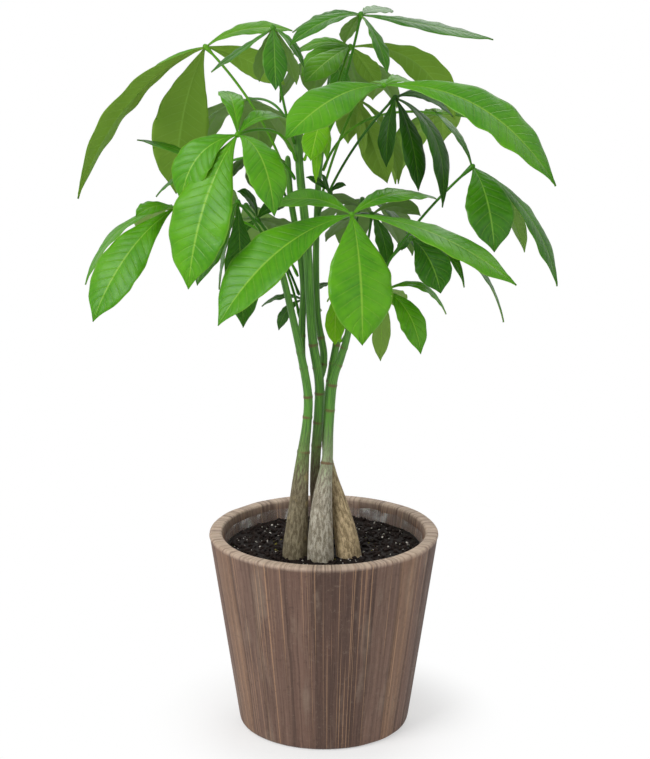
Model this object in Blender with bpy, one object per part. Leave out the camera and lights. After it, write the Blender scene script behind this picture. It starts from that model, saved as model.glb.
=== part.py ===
"""A potted money tree: a young Pachira with four twined trunks in a tapered wooden pot.

The pot stands on z = 0 with its axis on Z, and the plant's front faces -Y. The pot, the clear liner, the
soil, each trunk with its green shoots and each compound leaf are objects of their own.
"""
from math import cos, pi, radians, sin
from typing import NamedTuple

import bmesh
import bpy
from mathutils import Vector

MM = 0.001                      # metres in a millimetre; the plant's tables are in millimetres
GAP = 0.0003                    # clearance between pieces that rest on each other

# Pot
POT_HEIGHT = 0.133
POT_TOP_RADIUS = 0.076
POT_BASE_RADIUS = 0.0567
POT_WALL = 0.0085
POT_FLOOR = 0.010
RIM_ROUND = 0.0022              # rounding of the rim's outer and inner edge
FOOT_ROUND = 0.0036             # rounding where the wall meets the base
TURNED_SEGMENTS = 44

# Liner and soil
FILM = 0.0006                   # thickness of the clear liner
LINER_TOP = 0.1275              # height of the liner's edge
SOIL_TOP = 0.121                # height of the soil at its rim
SOIL_MOUND = 0.0025             # how much higher the soil stands round the trunks

# Leaves
BLADE_THICKNESS = 1.1 * MM      # thickness of a leaflet along its midrib
BLADE_STATIONS = (0.2, 0.44, 0.68, 0.89)   # cross sections, as fractions of the leaflet's length
BLADE_FOLD = 0.12               # how far the margins rise above the midrib, over the half width
WIDEST = 1.55                   # above 1 moves a leaflet's widest place from its middle towards its tip
KNEE = 0.45                     # where along a leaflet its arch is centred
STALK_RADIUS = 0.95 * MM
HUB_RADIUS = 2.0 * MM           # the swollen end of a leaf stalk, where its leaflets meet
STALK_SPREAD = 0.4              # how far a stalk leans out as it leaves its stem, against its rise
STALK_SIDES = 6
TRUNK_SIDES = 12
SHOOT_SIDES = 8

# Trunks and shoots: points x, y, z and radius, from the foot upwards
TRUNKS = {
    "trunk_left": [
        ((-19, -21, 96, 8.4), (-19, -21, 120, 8.4), (-17, -18, 146, 7.0), (-15, -16, 172, 5.2),
         (-13, -14, 192, 3.8), (-11, -12, 208, 3.1), (-10, -11, 224, 2.9), (-12, -11, 241, 2.7),
         (-18, -12, 271, 2.4), (-26, -14, 307, 2.1), (-31, -14, 324, 1.9)),
        ((-11, -11, 236, 2.2), (-14, -4, 250, 2.4), (-14, 2, 272, 2.3), (-13, 5, 296, 2.2),
         (-16, 7, 322, 2.1), (-21, 8, 352, 2.0), (-23, 8, 380, 1.9)),
    ],
    "trunk_front": [
        ((-2, -27, 94, 8.8), (-2, -27, 120, 8.8), (-2, -25, 140, 8.0), (-1, -22, 160, 6.4),
         (1, -17, 176, 4.5), (2.5, -14, 188, 3.5), (3.5, -12, 208, 3.0), (6, -10, 237, 2.9),
         (11, -9, 252, 2.5), (15, -10, 266, 2.2), (17, -12, 280, 2.0)),
    ],
    "trunk_right": [
        ((17, -21, 96, 8.3), (16.5, -21, 119, 8.3), (14, -18, 137, 7.3), (9.5, -12, 156, 5.5),
         (5, -7, 172, 3.9), (2, -3, 188, 3.0), (1.5, 2, 208, 2.8), (4, 4, 232, 2.6), (8, 6, 256, 2.4),
         (13, 7, 276, 2.1)),
    ],
    "trunk_back": [
        ((-4, -2, 98, 3.6), (-4, -3, 122, 3.4), (-5, -5, 145, 3.0), (-6, -6, 164, 3.1), (-5, -6, 189, 3.2),
         (-3, -5, 217, 3.2), (-3, -4, 236, 3.1), (-7, -4, 262, 3.0), (-9, -3, 292, 3.0),
         (-11, -2, 330, 2.8), (-15, 0, 370, 2.6), (-16, 0, 396, 2.4)),
        ((-3, -3, 232, 2.4), (0, 4, 250, 2.4), (-4, 8, 276, 2.2), (-5, 10, 313, 2.1), (-4, 11, 350, 2.0),
         (-2, 10, 380, 2.0), (2, 9, 404, 2.0)),
    ],
}


class Leaf(NamedTuple):
    """A compound leaf: its hub, the stalk's root on a shoot and its leaflets, in millimetres.

    A leaflet is x, y, z from hub to tip, then width, arch above that straight line and twist in degrees.
    """

    hub: tuple
    trunk: str
    branch: int                 # which of the trunk's stems carries the stalk
    root: float                 # height at which the stalk leaves that stem
    leaflets: tuple


LEAVES = {
    "leaf_front": Leaf((17, -60, 354), "trunk_front", 0, 277, (
        (-80, -35, -61, 38, 12, 30), (6, -40, -72, 42, 13, 10), (99, -18, -40, 34, 9, -8),
        (54, 52, 1, 24, 8, -15), (-51, 44, -2, 22, 7, 20))),
    "leaf_left_front": Leaf((-52, -50, 401), "trunk_back", 0, 380, (
        (23, -40, -43, 26, 13, -10), (-29, -35, -88, 41, 9, 20), (-34, -12, -39, 26, 10, 45),
        (-9, 36, 22, 16, 8, -15), (30, 34, 4, 16, 7, -15))),
    "leaf_right_top": Leaf((37, -25, 428), "trunk_back", 1, 392, (
        (104, -27, -58, 39, 18, -30), (-60, -53, -26, 31, 8, 30), (22, 30, -4, 14, 4, -20),
        (-6, 44, -14, 17, 6, 10))),
    "leaf_right_dark": Leaf((45, 6, 417), "trunk_back", 1, 346, (
        (38, 22, -15, 15, 7, -30), (29, -30, -65, 21, 17, 10), (14, -28, -55, 18, 7, 15),
        (-6, -22, -41, 15, 7, -30), (27, 2, -41, 9, 8, -10))),
    "leaf_back_centre": Leaf((22, 42, 412), "trunk_back", 1, 352, (
        (20, 12, -57, 22, 0, 45), (28, 28, -60, 20, 10, -10), (-20, 0, -24, 10, 5, 25),
        (-6, 34, -34, 20, 8, 10), (4, 6, -38, 12, 1, -25))),
    "leaf_right": Leaf((93, -12, 376), "trunk_front", 0, 272, (
        (12, -34, -48, 32, 8, -10), (54, -12, -74, 25, 11, -5), (-24, 30, 32, 13, 5, -20),
        (22, 34, -50, 22, 6, -10), (36, 18, -58, 20, 6, 0))),
    "leaf_top": Leaf((23, 0, 469), "trunk_back", 1, 403, (
        (84, 18, -17, 22, 1, -20), (20, 46, 0, 16, 1, -10), (-44, -26, -17, 15, 5, 20),
        (-43, 24, -13, 16, 4, 25), (16, -24, -34, 15, 4, 25), (-10, 22, -20, 13, 2, 5))),
    "leaf_top_back": Leaf((17, 36, 446), "trunk_back", 1, 398, (
        (69, 20, -49, 31, 16, 30), (-37, 12, -6, 14, 5, 30), (-31, -10, -18, 15, 5, 40),
        (19, 26, -28, 15, 1, 30), (-29, -36, -19, 20, 2, 25))),
    "leaf_top_left": Leaf((-31, -14, 462), "trunk_back", 0, 390, (
        (2, -30, -35, 16, 3, 20), (19, -8, -24, 10, 3, -10), (-38, -10, -26, 13, 0, 5),
        (14, 30, -38, 15, 3, -25), (-10, 28, -36, 15, 3, 30))),
    "leaf_upper_left": Leaf((-75, 24, 447), "trunk_left", 1, 372, (
        (-80, -32, -92, 37, 15, -40), (-54, -6, -45, 20, 9, 10), (-22, 22, -98, 38, 8, -30),
        (55, 14, 9, 17, 6, -20), (50, 24, -27, 19, 4, 60))),
    "leaf_left_low": Leaf((-95, 4, 347), "trunk_left", 1, 302, (
        (-58, -4, -49, 20, 12, 8), (-50, -36, -66, 33, 8, 30), (-22, -32, 0, 13, 4, 25),
        (16, 44, -30, 18, 5, -20), (-26, 42, -24, 22, 6, 10))),
    "leaf_inner": Leaf((-41, 26, 378), "trunk_left", 1, 350, (
        (-4, 16, -26, 15, 4, 0), (8, -8, -30, 14, 3, 0), (-20, 14, -18, 15, 4, 0),
        (18, 16, -14, 14, 4, 0))),
    "leaf_left_inner": Leaf((-54, -14, 354), "trunk_left", 0, 323, (
        (-24, -36, -46, 23, 6, 5), (4, -30, -74, 28, 0, 35), (-13, 8, -58, 19, 2, 45),
        (20, 12, -42, 17, 4, -20))),
    "leaf_mid_left": Leaf((-43, 20, 337), "trunk_left", 1, 290, (
        (-12, -10, 20, 11, 4, 60), (18, 24, 6, 11, 3, -25), (-10, -9, -8, 8, 1, 0),
        (24, 36, -19, 16, 3, 30), (-24, 30, -16, 18, 4, 0))),
    "leaf_mid_right": Leaf((31, 16, 341), "trunk_right", 0, 273, (
        (32, 12, -3, 13, 6, 50), (-28, 28, 4, 14, 5, -40), (10, -22, -30, 13, 5, 10),
        (22, 54, -34, 20, 7, -15), (-30, 44, -26, 18, 6, 10))),
    "leaf_right_low": Leaf((56, 2, 328), "trunk_right", 0, 268, (
        (18, -20, -32, 24, 5, -30), (-9, -12, -6, 6, 1, 20), (34, -6, -31, 13, 9, -20),
        (61, 8, -57, 22, 15, -12), (20, 38, -30, 20, 6, 0))),
    "leaf_right_bottom": Leaf((39, 6, 293), "trunk_right", 0, 258, (
        (41, 10, -18, 13, 11, -15), (23, -22, -37, 18, 8, -30), (-2, 8, -49, 14, 2, 20),
        (12, 40, -22, 16, 5, 0))),
    "leaf_centre_low": Leaf((8, -11, 296), "trunk_front", 0, 262, (
        (-1, -18, -31, 13, 2, 0), (-6, 10, -9, 5, 1, 40))),
    "leaf_low_back": Leaf((-14, 44, 279), "trunk_left", 1, 268, (
        (-28, 14, -8, 10, 4, 15), (-16, -10, -19, 9, 4, 15), (19, 20, 7, 9, 2, 0),
        (12, 28, -15, 11, 3, -30))),
    "leaf_centre": Leaf((0, -8, 410), "trunk_back", 0, 378, (
        (-8, -34, -26, 17, 2, 0), (-5, -12, -43, 10, 3, -30), (2, -2, -30, 8, 1, 0))),
    "leaf_young": Leaf((4, -6, 358), "trunk_back", 1, 340, (
        (-15, -3, 11, 7, 2, 35), (-5, -4, 13, 5, 0, 60), (10, -4, 6, 5, 2, -40))),
    "leaf_left_mid": Leaf((-71, 10, 372), "trunk_back", 0, 366, (
        (-48, 6, 17, 15, 3, 10), (-36, -4, -18, 15, 5, 5), (10, 36, -40, 19, 5, -30),
        (-4, 44, -26, 20, 6, 0))),
    "leaf_back_top": Leaf((8, 84, 436), "trunk_back", 1, 390, (
        (-38, 22, -34, 25, 10, 0), (-16, 52, -34, 27, 12, 0), (18, 56, -40, 27, 12, 0),
        (42, 24, -38, 25, 10, 0), (4, -18, -34, 15, 4, 0))),
    "leaf_back_left": Leaf((-50, 72, 408), "trunk_back", 0, 382, (
        (-46, 8, -46, 27, 9, 0), (-36, 44, -44, 29, 12, 0), (6, 56, -50, 29, 13, 0),
        (34, 30, -46, 25, 9, 0))),
    "leaf_back_right": Leaf((76, 60, 400), "trunk_back", 1, 368, (
        (48, 12, -8, 18, 3, -30), (6, 56, -26, 26, 10, 0), (-22, 50, -44, 26, 11, 0),
        (-28, 22, -50, 22, 8, 0))),
    "leaf_back_low": Leaf((26, 80, 340), "trunk_right", 0, 262, (
        (-36, 26, -40, 25, 10, 0), (-8, 54, -50, 28, 12, 0), (36, 38, -46, 27, 11, 0),
        (36, -4, -34, 20, 7, 0))),
    "leaf_back_low_left": Leaf((-52, 68, 338), "trunk_left", 1, 276, (
        (-46, 6, -36, 24, 9, 0), (-30, 40, -44, 27, 11, 0), (10, 48, -48, 27, 11, 0),
        (32, 14, -36, 22, 7, 0))),
}

COLOURS = {
    "wood": (0.145, 0.072, 0.048, 1.0),
    "film": (0.85, 0.87, 0.86, 1.0),
    "soil": (0.018, 0.013, 0.012, 1.0),
    "bark": (0.21, 0.155, 0.105, 1.0),
    "leaf": (0.075, 0.30, 0.022, 1.0),
}


def clear_scene():
    """Remove whatever the file holds."""
    for item in list(bpy.data.objects):
        bpy.data.objects.remove(item)


def material(name, colour, roughness, alpha=1.0):
    """A plain Principled material."""
    made = bpy.data.materials.new(name)
    made.use_nodes = True
    shader = made.node_tree.nodes["Principled BSDF"]
    shader.inputs["Base Color"].default_value = colour
    shader.inputs["Roughness"].default_value = roughness
    shader.inputs["Metallic"].default_value = 0.0
    shader.inputs["Alpha"].default_value = alpha
    return made


def add_object(name, bm, finish=None, smooth=True):
    """Turn a bmesh into a linked object, with its faces pointing out."""
    bmesh.ops.recalc_face_normals(bm, faces=bm.faces)
    mesh = bpy.data.meshes.new(name)
    bm.to_mesh(mesh)
    bm.free()
    if smooth:
        mesh.shade_smooth()
        mesh.set_sharp_from_angle(angle=radians(35))
    if finish:
        mesh.materials.append(finish)
    made = bpy.data.objects.new(name, mesh)
    bpy.context.scene.collection.objects.link(made)
    return made


def guide(made):
    """Mark an object as a cutter or a guide, which is no piece of the plant."""
    made.hide_render = True
    made.display_type = "WIRE"
    return made


def boolean(target, other, operation, own_overlaps=False):
    """Combine target with the guide other."""
    modifier = target.modifiers.new(operation.lower(), "BOOLEAN")
    modifier.operation = operation
    modifier.solver = "EXACT"
    modifier.use_self = own_overlaps
    modifier.object = other


def turned(name, profile, finish):
    """Turn a closed profile about Z. The profile is (radius, z) points; a zero radius is a pole."""
    bm = bmesh.new()
    rings = []
    for radius, z in profile:
        if radius == 0.0:
            rings.append([bm.verts.new((0.0, 0.0, z))])
            continue
        turns = [2 * pi * i / TURNED_SEGMENTS for i in range(TURNED_SEGMENTS)]
        rings.append([bm.verts.new((radius * cos(a), radius * sin(a), z)) for a in turns])
    for low, high in zip(rings, rings[1:]):
        skin(bm, low, high)
    return add_object(name, bm, finish)


def skin(bm, low, high):
    """Join two rings of vertices with faces; a ring of one vertex is a pole."""
    count = max(len(low), len(high))
    for i in range(count):
        j = (i + 1) % count
        corners = [low[i % len(low)], low[j % len(low)], high[j % len(high)], high[i % len(high)]]
        bm.faces.new(dict.fromkeys(corners))


def rounded_corner(centre, radius, start, end, steps=3):
    """Points of an arc in the profile plane, from start to end in degrees."""
    angles = [radians(start + (end - start) * i / steps) for i in range(steps + 1)]
    return [(centre[0] + radius * cos(a), centre[1] + radius * sin(a)) for a in angles]


def inner_radius(z, inset=0.0):
    """Radius of the pot's inside at height z, less inset."""
    taper = (POT_TOP_RADIUS - POT_BASE_RADIUS) / POT_HEIGHT
    return POT_BASE_RADIUS + taper * z - POT_WALL - inset


def build_pot(finish):
    """The tapered pot: a solid floor, one straight wall and a rounded rim."""
    rim_z = POT_HEIGHT - RIM_ROUND
    foot = rounded_corner((POT_BASE_RADIUS - FOOT_ROUND + 0.0004, FOOT_ROUND), FOOT_ROUND, -90, -8)
    outer_rim = rounded_corner((POT_TOP_RADIUS - RIM_ROUND, rim_z), RIM_ROUND, -8, 90)
    inner_rim = rounded_corner((inner_radius(rim_z) + RIM_ROUND, rim_z), RIM_ROUND, 90, 172)
    floor_corner = [(inner_radius(POT_FLOOR + 0.003), POT_FLOOR + 0.003),
                    (inner_radius(POT_FLOOR) - 0.003, POT_FLOOR)]
    profile = [(0.0, 0.0)] + foot + outer_rim + inner_rim + floor_corner + [(0.0, POT_FLOOR)]
    return turned("wooden_pot", profile, finish)


def build_liner(finish):
    """The clear film cup that lines the pot and keeps the soil's water off the wood."""
    floor = POT_FLOOR + GAP
    corner = floor + 0.004
    profile = [
        (0.0, floor), (inner_radius(floor, GAP) - 0.004, floor), (inner_radius(corner, GAP), corner),
        (inner_radius(LINER_TOP, GAP), LINER_TOP), (inner_radius(LINER_TOP, GAP + FILM), LINER_TOP),
        (inner_radius(corner, GAP + FILM), corner + FILM / 2),
        (inner_radius(floor, GAP + FILM) - 0.004, floor + FILM), (0.0, floor + FILM),
    ]
    return turned("plastic_liner", profile, finish)


def build_soil(finish):
    """The soil fills the liner and stands a little higher round the trunks."""
    inset = 2 * GAP + FILM
    floor = POT_FLOOR + 2 * GAP + FILM
    corner = floor + 0.005
    edge = inner_radius(SOIL_TOP, inset)
    mound = [(edge * part, SOIL_TOP + SOIL_MOUND * (1 - part ** 2)) for part in (1.0, 0.8, 0.6, 0.4)]
    profile = [(0.0, floor), (inner_radius(floor, inset) - 0.006, floor), (inner_radius(corner, inset), corner)]
    profile += mound + [(0.0, SOIL_TOP + SOIL_MOUND)]
    return turned("soil", profile, finish)


def along(points, t):
    """The place on a smooth curve through points, each a Vector, at t from 0 to len(points) - 1."""
    last = len(points) - 1
    i = min(int(t), last - 1)
    f = t - i
    before, a, b, after = (points[max(0, min(last, k))] for k in (i - 1, i, i + 1, i + 2))
    return 0.5 * (2 * a + (b - before) * f + (2 * before - 5 * a + 4 * b - after) * f ** 2
                  + (3 * a - 3 * b + after - before) * f ** 3)


def smooth_path(points, steps):
    """steps points to each stretch of the smooth curve through points."""
    count = (len(points) - 1) * steps
    return [along(points, i / steps) for i in range(count + 1)]


def add_tube(bm, path, sides):
    """Add a closed tube to bm along path, whose points are x, y, z and radius in metres."""
    places = [p.xyz for p in path]
    tangents = [(places[min(i + 1, len(places) - 1)] - places[max(i - 1, 0)]).normalized()
                for i in range(len(places))]
    side = tangents[0].orthogonal().normalized()
    rings = []
    for point, place, tangent in zip(path, places, tangents):
        side = (side - tangent * side.dot(tangent)).normalized()
        other = tangent.cross(side)
        turns = [2 * pi * i / sides for i in range(sides)]
        rings.append([bm.verts.new(place + point.w * (cos(a) * side + sin(a) * other)) for a in turns])
    start = bm.verts.new(places[0] - tangents[0] * path[0].w * 0.4)
    end = bm.verts.new(places[-1] + tangents[-1] * path[-1].w * 0.4)
    for low, high in zip([[start]] + rings, rings + [[end]]):
        skin(bm, low, high)


def stem_path(rows, steps=2, swell=0.0):
    """A trunk's or shoot's path in metres, from its table, its radius grown by swell."""
    points = [Vector((x * MM, y * MM, z * MM, radius * MM + swell)) for x, y, z, radius in rows]
    return smooth_path(points, steps)


def build_trunk(name, stems, finish):
    """A trunk with the green shoots that grew out of it, as one piece."""
    bm = bmesh.new()
    add_tube(bm, stem_path(stems[0]), TRUNK_SIDES)
    made = add_object(name, bm, finish)
    for number, rows in enumerate(stems[1:]):
        shoot = bmesh.new()
        add_tube(shoot, stem_path(rows), SHOOT_SIDES)
        boolean(made, guide(add_object(f"{name}_shoot_{number}", shoot)), "UNION")
    return made


def cut_trunk_holes(soil):
    """Leave room in the soil round each trunk's foot."""
    for name, stems in TRUNKS.items():
        foot = [row for row in stems[0] if row[2] < 150]
        bm = bmesh.new()
        add_tube(bm, stem_path(foot, swell=GAP * 1.2), TRUNK_SIDES)
        boolean(soil, guide(add_object(f"{name}_hole", bm)), "DIFFERENCE")


def blade_width(t):
    """A leaflet's width at t along it, as a part of its greatest width."""
    return max(sin(pi * t ** WIDEST), 0.0) ** 0.85


def add_blade(bm, hub, leaflet):
    """Add a leaflet to bm: a lens-shaped section carried along its arched midrib."""
    *reach, width, arch, twist = leaflet
    reach = Vector(reach) * MM
    across = reach.cross(Vector((0, 0, 1))).normalized()
    upward = across.cross(reach).normalized()
    knee = reach * KNEE + upward * (2 * arch * MM)
    turn = radians(twist)
    side = across * cos(turn) + upward * sin(turn)
    face = upward * cos(turn) - across * sin(turn)
    sections = []
    for t in BLADE_STATIONS:
        middle = hub + 2 * t * (1 - t) * knee + t * t * reach
        half = side * (width * MM / 2 * blade_width(t))
        rise = face * (half.length * BLADE_FOLD)
        skin_depth = face * (BLADE_THICKNESS / 2)
        corners = (middle + half + rise, middle + skin_depth, middle - half + rise, middle - skin_depth)
        sections.append([bm.verts.new(corner) for corner in corners])
    ends = [[bm.verts.new(hub)]], [[bm.verts.new(hub + reach)]]
    for low, high in zip(ends[0] + sections, sections + ends[1]):
        skin(bm, low, high)


def stalk_root(leaf):
    """Where a leaf's stalk leaves its stem: the stem's middle there, and its radius."""
    path = stem_path(TRUNKS[leaf.trunk][leaf.branch], steps=8)
    return min(path, key=lambda point: abs(point.z - leaf.root * MM))


def stalk_path(leaf):
    """The stalk's path: out of the stem, up at a slant, then over to the hub."""
    stem = stalk_root(leaf)
    hub = Vector(leaf.hub) * MM
    outward = Vector((hub.x - stem.x, hub.y - stem.y, 0.0)).normalized()
    start = stem.xyz + outward * (stem.w + GAP + 0.75 * STALK_RADIUS)
    reach = (hub - start).length
    lift = Vector((0, 0, 1))
    bend = start + (outward * STALK_SPREAD + lift).normalized() * reach * 0.5
    steps = 6
    path = []
    for i in range(steps + 1):
        t = i / steps
        place = (1 - t) ** 2 * start + 2 * t * (1 - t) * bend + t * t * hub
        path.append(place.to_4d())
        path[-1].w = STALK_RADIUS
    path[-1].w = HUB_RADIUS
    path.append((hub + (hub - path[-2].xyz).normalized() * HUB_RADIUS * 0.7).to_4d())
    path[-1].w = HUB_RADIUS * 0.7
    return path


def build_leaf(name, leaf, finish):
    """A compound leaf: its stalk, the swollen hub and the leaflets, as one piece."""
    bm = bmesh.new()
    add_tube(bm, stalk_path(leaf), STALK_SIDES)
    made = add_object(name, bm, finish)
    blades = bmesh.new()
    for leaflet in leaf.leaflets:
        add_blade(blades, Vector(leaf.hub) * MM, leaflet)
    boolean(made, guide(add_object(f"{name}_blades", blades)), "UNION", own_overlaps=True)
    return made


def main():
    clear_scene()
    build_pot(material("whitewashed_wood", COLOURS["wood"], 0.75))
    build_liner(material("clear_film", COLOURS["film"], 0.15, alpha=0.4))
    soil = build_soil(material("potting_soil", COLOURS["soil"], 0.95))
    cut_trunk_holes(soil)
    for name, stems in TRUNKS.items():
        build_trunk(name, stems, material(f"{name}_bark", COLOURS["bark"], 0.7))
    for name, leaf in LEAVES.items():
        build_leaf(name, leaf, material(f"{name}_green", COLOURS["leaf"], 0.4))


main()
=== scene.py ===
"""The looks of a potted money tree: its leaves, trunks, soil, liner film and whitewashed wooden pot.

Lengths are in metres unless a name or comment says millimetres. The pot stands on z = 0 with its axis on
Z, and the plant's front faces -Y. Every surface is a grid worked out with numpy.
"""
import logging
from dataclasses import dataclass, field
from enum import Enum
from typing import NamedTuple

import bpy
import numpy as np
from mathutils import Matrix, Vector


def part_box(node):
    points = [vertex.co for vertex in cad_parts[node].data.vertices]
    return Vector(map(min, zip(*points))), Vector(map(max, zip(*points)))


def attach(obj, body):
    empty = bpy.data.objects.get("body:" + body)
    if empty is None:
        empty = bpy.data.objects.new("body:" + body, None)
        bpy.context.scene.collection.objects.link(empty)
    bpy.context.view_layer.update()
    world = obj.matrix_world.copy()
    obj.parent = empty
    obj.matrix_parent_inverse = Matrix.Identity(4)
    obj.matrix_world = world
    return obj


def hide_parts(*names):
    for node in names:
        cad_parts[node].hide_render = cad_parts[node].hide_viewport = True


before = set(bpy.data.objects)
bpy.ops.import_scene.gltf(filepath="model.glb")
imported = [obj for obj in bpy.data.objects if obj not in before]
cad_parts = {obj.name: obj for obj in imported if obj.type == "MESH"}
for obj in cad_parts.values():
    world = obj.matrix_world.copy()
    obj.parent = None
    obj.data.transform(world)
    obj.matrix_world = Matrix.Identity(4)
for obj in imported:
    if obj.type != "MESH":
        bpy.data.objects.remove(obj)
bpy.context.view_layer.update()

LOG = logging.getLogger("money_tree")
MM = 0.001
UP = np.array([0.0, 0.0, 1.0])
# how many side veins a side vein climbs between the midrib and the margin
VEIN_SLANT = 1.6
Array = np.ndarray
Colour = tuple[float, float, float]


class Tone(Enum):
    """Which green a compound leaf takes: young is yellower and pale is paler than mature; bright and shaded
    are the mature green with painted light and painted shade, for leaves in the light and leaves in shade.
    """

    PAINTED_LIT = "bright"
    MATURE = "mature"
    PAINTED_SHADE = "shaded"
    PALE = "pale"
    YOUNG = "young"


class LeafPlan(NamedTuple):
    """A compound leaf, in millimetres: its hub, the stem that carries its stalk, and its leaflets.

    A leaflet is x, y, z from hub to tip, then width, arch above that straight line and twist in degrees.
    """

    tone: Tone
    hub: tuple[float, float, float]
    trunk: str
    branch: int
    root: float
    leaflets: tuple[tuple[float, ...], ...]


# Trunks and shoots: points x, y, z and radius in millimetres, from the foot upwards

TRUNKS: dict[str, list[tuple[tuple[float, ...], ...]]] = {
    "trunk_left": [
        ((-19, -21, 96, 8.4), (-19, -21, 120, 8.4), (-17, -18, 146, 7.0), (-15, -16, 172, 5.2),
         (-13, -14, 192, 3.8), (-11, -12, 208, 3.1), (-10, -11, 224, 2.9), (-12, -11, 241, 2.7),
         (-18, -12, 271, 2.4), (-26, -14, 307, 2.1), (-31, -14, 324, 1.9)),
        ((-11, -11, 236, 2.2), (-14, -4, 250, 2.4), (-14, 2, 272, 2.3), (-13, 5, 296, 2.2),
         (-16, 7, 322, 2.1), (-21, 8, 352, 2.0), (-23, 8, 380, 1.9)),
    ],
    "trunk_front": [
        ((-2, -27, 94, 8.8), (-2, -27, 120, 8.8), (-2, -25, 140, 8.0), (-1, -22, 160, 6.4),
         (1, -17, 176, 4.5), (2.5, -14, 188, 3.5), (3.5, -12, 208, 3.0), (6, -10, 237, 2.9),
         (11, -9, 252, 2.5), (15, -10, 266, 2.2), (17, -12, 280, 2.0)),
    ],
    "trunk_right": [
        ((17, -21, 96, 8.3), (16.5, -21, 119, 8.3), (14, -18, 137, 7.3), (9.5, -12, 156, 5.5),
         (5, -7, 172, 3.9), (2, -3, 188, 3.0), (1.5, 2, 208, 2.8), (4, 4, 232, 2.6), (8, 6, 256, 2.4),
         (13, 7, 276, 2.1)),
    ],
    "trunk_back": [
        ((-4, -2, 98, 3.6), (-4, -3, 122, 3.4), (-5, -5, 145, 3.0), (-6, -6, 164, 3.1), (-5, -6, 189, 3.2),
         (-3, -5, 217, 3.2), (-3, -4, 236, 3.1), (-7, -4, 262, 3.0), (-9, -3, 292, 3.0),
         (-11, -2, 330, 2.8), (-15, 0, 370, 2.6), (-16, 0, 396, 2.4)),
        ((-3, -3, 232, 2.4), (0, 4, 250, 2.4), (-4, 8, 276, 2.2), (-5, 10, 313, 2.1), (-4, 11, 350, 2.0),
         (-2, 10, 380, 2.0), (2, 9, 404, 2.0)),
    ],
}

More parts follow.
